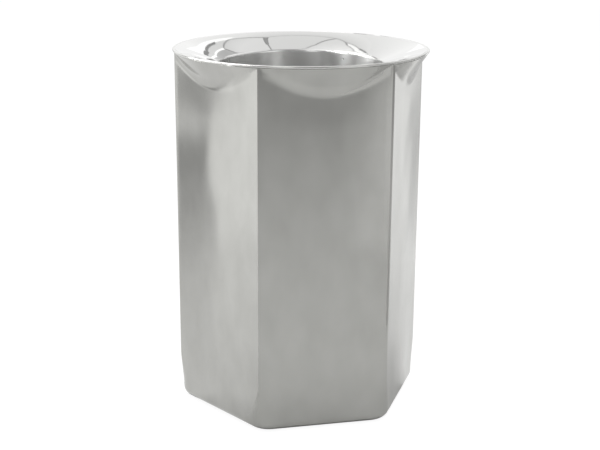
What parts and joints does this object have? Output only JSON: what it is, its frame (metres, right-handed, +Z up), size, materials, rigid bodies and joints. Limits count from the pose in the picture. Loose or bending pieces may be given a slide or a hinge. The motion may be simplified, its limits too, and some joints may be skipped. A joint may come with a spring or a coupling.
{
  "type": "bottle cooler",
  "caption": "Hexagonal double-walled steel bottle cooler with a flared round rim, a polished funnel and a deep round well.",
  "frame": {"origin": "centre of the base pad's underside, where the cooler stands", "axes": "+Z up along the well's axis; a vertical edge of the hexagon on +X and a flat facing -Y"},
  "size_m": [0.15, 0.15, 0.214],
  "materials": {
    "casing_steel": "satin",
    "polished_steel": "mirror polished",
    "rim_steel": "polished weld",
    "base_steel": "as pressed",
    "plug_rubber": "matt",
    "foam": "closed-cell foam",
    "pad_rubber": "matt"
  },
  "bodies": {
    "root": {"outer_shell": "casing_steel", "inner_liner": "polished_steel", "rim_weld": "rim_steel", "base_plate": "base_steel", "base_weld": "base_steel", "vent_plug": "plug_rubber", "liner_spacer": "foam", "base_pad": "pad_rubber"}
  },
  "joints": []
}
